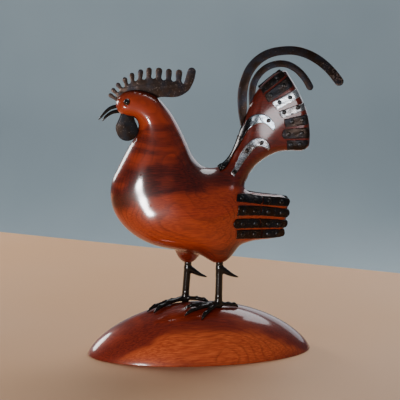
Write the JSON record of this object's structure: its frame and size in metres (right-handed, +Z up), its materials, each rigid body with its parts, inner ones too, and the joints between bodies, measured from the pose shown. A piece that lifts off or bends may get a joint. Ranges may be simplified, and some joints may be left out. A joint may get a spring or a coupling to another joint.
{
  "type": "wood and iron rooster sculpture",
  "caption": "Standing rooster carved in red-brown lacquered hardwood on a half-egg base, with a forged iron comb, beak, wattles, tail plumes, nailed plates and legs",
  "frame": {"origin": "centre of the base's flat underside", "axes": "+Z up; the rooster faces -X, so +X runs to its tail; its left side faces -Y"},
  "size_m": [0.2322, 0.096, 0.2787],
  "materials": {
    "lacquered_wood": "glossy clear lacquer over red-brown hardwood with dark heartwood",
    "forged_iron": "dark oxidised forged iron, waxed, with worn bright edges",
    "bright_iron": "iron ground bright and brushed",
    "eye_bead": "glossy black bead"
  },
  "bodies": {
    "root": {"base": "lacquered_wood", "body": "lacquered_wood", "comb": "forged_iron", "long_plume": "forged_iron", "short_plume": "forged_iron", "upper_beak": "forged_iron", "lower_beak": "forged_iron", "left_leg": "forged_iron", "right_leg": "forged_iron", "left_wattle": "forged_iron", "right_wattle": "forged_iron", "left_tail_plate_1": "forged_iron", "left_tail_plate_2": "forged_iron", "left_tail_plate_3": "forged_iron", "left_tail_plate_4": "forged_iron", "left_tail_plate_5": "forged_iron", "left_tail_plate_6": "forged_iron", "left_tail_plate_7": "forged_iron", "left_rump_plate_1": "forged_iron", "left_rump_plate_2": "forged_iron", "left_rump_plate_3": "forged_iron", "left_rump_plate_4": "forged_iron", "left_rump_plate_5": "forged_iron", "left_rump_plate_6": "forged_iron", "left_rump_plate_7": "forged_iron", "left_rump_plate_8": "forged_iron", "right_tail_plate_1": "forged_iron", "right_tail_plate_2": "forged_iron", "right_tail_plate_3": "forged_iron", "right_tail_plate_4": "forged_iron", "right_tail_plate_5": "forged_iron", "right_tail_plate_6": "forged_iron", "right_tail_plate_7": "forged_iron", "right_rump_plate_1": "forged_iron", "right_rump_plate_2": "forged_iron", "right_rump_plate_3": "forged_iron", "right_rump_plate_4": "forged_iron", "right_rump_plate_5": "forged_iron", "right_rump_plate_6": "forged_iron", "right_rump_plate_7": "forged_iron", "right_rump_plate_8": "forged_iron", "left_upper_strap": "bright_iron", "left_lower_strap": "bright_iron", "right_upper_strap": "bright_iron", "right_lower_strap": "bright_iron", "left_eye": "eye_bead", "right_eye": "eye_bead"}
  },
  "joints": []
}
